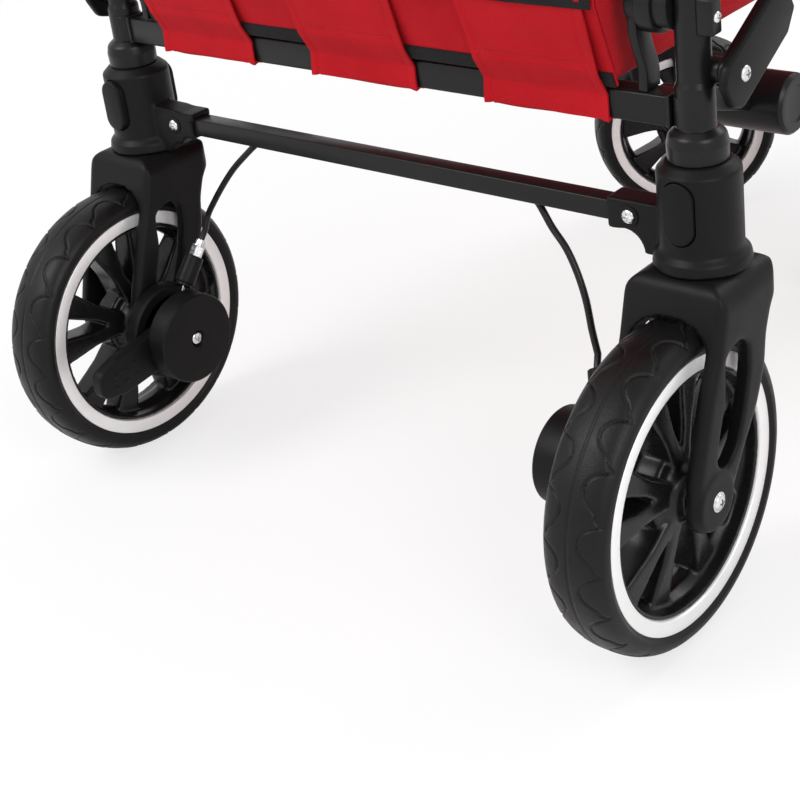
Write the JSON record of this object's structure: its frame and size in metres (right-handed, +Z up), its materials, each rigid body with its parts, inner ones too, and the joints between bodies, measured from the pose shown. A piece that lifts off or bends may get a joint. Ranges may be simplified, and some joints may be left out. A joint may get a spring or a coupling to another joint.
{
  "type": "hand-pulled wagon",
  "caption": "Folding hand-pulled wagon: cloth tub on a steel frame with scissor sides, trailing rear wheels with a foot brake, front casters, push bar and telescoping pull handle.",
  "frame": {"origin": "on the floor, under the middle of the open wagon with its pull handle stored", "axes": "+X is the wagon's right seen from behind the push handle, +Y is forward to the pull handle, +Z is up"},
  "size_m": [0.6956, 0.9934, 1.0633],
  "materials": {
    "frame_coat": "black powder coat, satin",
    "plastic": "black moulded plastic, fine grain",
    "tyre": "solid black foam rubber, matt",
    "ring": "silver paint, satin, bare of lettering",
    "screw": "bright zinc",
    "cloth": "red woven polyester",
    "foam": "soft black foam",
    "cable": "black cable housing, smooth",
    "alloy": "anodised, satin"
  },
  "bodies": {
    "rear_frame": {"rear_post_left": "frame_coat", "rear_post_right": "frame_coat", "rear_lower_rail": "frame_coat", "rear_upper_rail": "frame_coat", "rear_sleeve_left": "plastic", "rear_sleeve_right": "plastic", "rear_fork_left": "plastic", "rear_fork_right": "plastic", "crossbar": "frame_coat", "rear_axle_left": "screw", "rear_axle_right": "screw", "brake_drum_left": "plastic", "brake_drum_right": "plastic", "brake_cover_left": "plastic", "brake_cover_right": "plastic", "brake_cable": "cable", "cable_barrel": "plastic", "handle_hub_left": "plastic", "handle_hub_right": "plastic", "rear_panel": "cloth", "tub": "cloth"},
    "rear_wheel_left": {"rear_tyre_left": "tyre", "rear_ring_left": "ring", "rear_rim_left": "plastic"},
    "rear_wheel_right": {"rear_tyre_right": "tyre", "rear_ring_right": "ring", "rear_rim_right": "plastic"},
    "button_left": {"wheel_button_left": "plastic"},
    "button_right": {"wheel_button_right": "plastic"},
    "brake_pedal_left": {"brake_pedal": "plastic"},
    "brake_arm_right": {"brake_arm": "plastic"},
    "push_handle": {"push_bar": "frame_coat", "push_grip": "foam"},
    "links_a_rear": {"link_a_rear_left": "frame_coat", "link_a_rear_right": "frame_coat"},
    "links_b_rear": {"link_b_rear_left": "frame_coat", "link_b_rear_right": "frame_coat"},
    "links_b_front": {"link_b_front_left": "frame_coat", "link_b_front_right": "frame_coat"},
    "links_a_front": {"link_a_front_left": "frame_coat", "link_a_front_right": "frame_coat"},
    "collars_rear": {"collar_rear_left": "plastic", "collar_rear_right": "plastic"},
    "collars_front": {"collar_front_left": "plastic", "collar_front_right": "plastic"},
    "front_frame": {"front_post_left": "frame_coat", "front_post_right": "frame_coat", "front_chassis": "frame_coat", "front_upper_rail": "frame_coat", "front_panel": "cloth"},
    "caster_left": {"caster_fork_left": "plastic"},
    "caster_right": {"caster_fork_right": "plastic"},
    "front_wheel_left": {"front_tyre_left": "tyre", "front_rim_left": "plastic"},
    "front_wheel_right": {"front_tyre_right": "tyre", "front_rim_right": "plastic"},
    "pull_handle": {"pull_tube": "frame_coat"},
    "pull_extension": {"pull_inner": "alloy", "pull_grip": "plastic"}
  },
  "joints": [
    {"name": "fold", "type": "hinge", "parent": "rear_frame", "child": "links_a_rear", "pos_m": [0, -0.297, 0.425], "axis": [1, 0, 0], "range_deg": [0, 37.5], "deforming": ["tub"]},
    {"name": "fold_upper_middle", "type": "hinge", "parent": "links_a_rear", "child": "links_b_front", "pos_m": [0, 0.054, 0.61558], "axis": [1, 0, 0], "range_deg": [-75, 0]},
    {"name": "fold_front", "type": "hinge", "parent": "links_b_front", "child": "front_frame", "pos_m": [0, 0.405, 0.425], "axis": [1, 0, 0], "range_deg": [0, 37.5]},
    {"name": "fold_rear_crossing", "type": "hinge", "parent": "links_a_rear", "child": "links_b_rear", "pos_m": [0, -0.1215, 0.52029], "axis": [1, 0, 0], "range_deg": [-75, 0]},
    {"name": "fold_rear_collar", "type": "hinge", "parent": "links_b_rear", "child": "collars_rear", "pos_m": [0, -0.297, 0.61558], "axis": [1, 0, 0], "range_deg": [0, 37.5]},
    {"name": "fold_front_crossing", "type": "hinge", "parent": "links_b_front", "child": "links_a_front", "pos_m": [0, 0.2295, 0.52029], "axis": [1, 0, 0], "range_deg": [0, 75]},
    {"name": "fold_front_collar", "type": "hinge", "parent": "links_a_front", "child": "collars_front", "pos_m": [0, 0.405, 0.61558], "axis": [1, 0, 0], "range_deg": [-37.5, 0]},
    {"name": "rear_wheel_spin_left", "type": "hinge", "parent": "rear_frame", "child": "rear_wheel_left", "pos_m": [-0.3, -0.37, 0.12639], "axis": [1, 0, 0], "continuous": true},
    {"name": "caster_swivel_left", "type": "hinge", "parent": "front_frame", "child": "caster_left", "pos_m": [-0.155, 0.298, 0.3], "axis": [0, 0, 1], "continuous": true},
    {"name": "front_wheel_spin_left", "type": "hinge", "parent": "caster_left", "child": "front_wheel_left", "pos_m": [-0.1167, 0.33014, 0.10434], "axis": [-0.6428, 0.766, 0], "continuous": true},
    {"name": "button_press_left", "type": "slide", "parent": "rear_frame", "child": "button_left", "axis": [0, 1, 0], "range_m": [0, 0.003], "stiffness_N_per_m": 400},
    {"name": "rear_wheel_spin_right", "type": "hinge", "parent": "rear_frame", "child": "rear_wheel_right", "pos_m": [0.3, -0.37, 0.12639], "axis": [1, 0, 0], "continuous": true},
    {"name": "caster_swivel_right", "type": "hinge", "parent": "front_frame", "child": "caster_right", "pos_m": [0.155, 0.298, 0.3], "axis": [0, 0, 1], "continuous": true},
    {"name": "front_wheel_spin_right", "type": "hinge", "parent": "caster_right", "child": "front_wheel_right", "pos_m": [0.155, 0.248, 0.10434], "axis": [1, 0, 0], "continuous": true},
    {"name": "button_press_right", "type": "slide", "parent": "rear_frame", "child": "button_right", "axis": [0, 1, 0], "range_m": [0, 0.001], "stiffness_N_per_m": 400},
    {"name": "brake_pedal_press", "type": "hinge", "parent": "rear_frame", "child": "brake_pedal_left", "pos_m": [-0.2327, -0.37, 0.12639], "axis": [1, 0, 0], "range_deg": [0, 28]},
    {"name": "brake_arm_turn", "type": "hinge", "parent": "rear_frame", "child": "brake_arm_right", "pos_m": [0.2327, -0.37, 0.12639], "axis": [1, 0, 0], "range_deg": [0, 28]},
    {"name": "push_handle_tilt", "type": "hinge", "parent": "rear_frame", "child": "push_handle", "pos_m": [0, -0.306, 0.884], "axis": [1, 0, 0], "range_deg": [-45, 100]},
    {"name": "pull_handle_swing", "type": "hinge", "parent": "front_frame", "child": "pull_handle", "pos_m": [0, 0.479, 0.397], "axis": [-1, 0, 0], "range_deg": [0, 95]},
    {"name": "pull_handle_extend", "type": "slide", "parent": "pull_handle", "child": "pull_extension", "axis": [0, -0.0436, 0.999], "range_m": [0, 0.22]}
  ],
  "couplings": [
    {"joint": "fold_upper_middle", "follows": "fold", "ratio": -2},
    {"joint": "fold_front", "follows": "fold", "ratio": 1},
    {"joint": "fold_rear_crossing", "follows": "fold", "ratio": -2},
    {"joint": "fold_rear_collar", "follows": "fold", "ratio": 1},
    {"joint": "fold_front_crossing", "follows": "fold", "ratio": 2},
    {"joint": "fold_front_collar", "follows": "fold", "ratio": -1},
    {"joint": "brake_arm_turn", "follows": "brake_pedal_press", "ratio": 1}
  ]
}
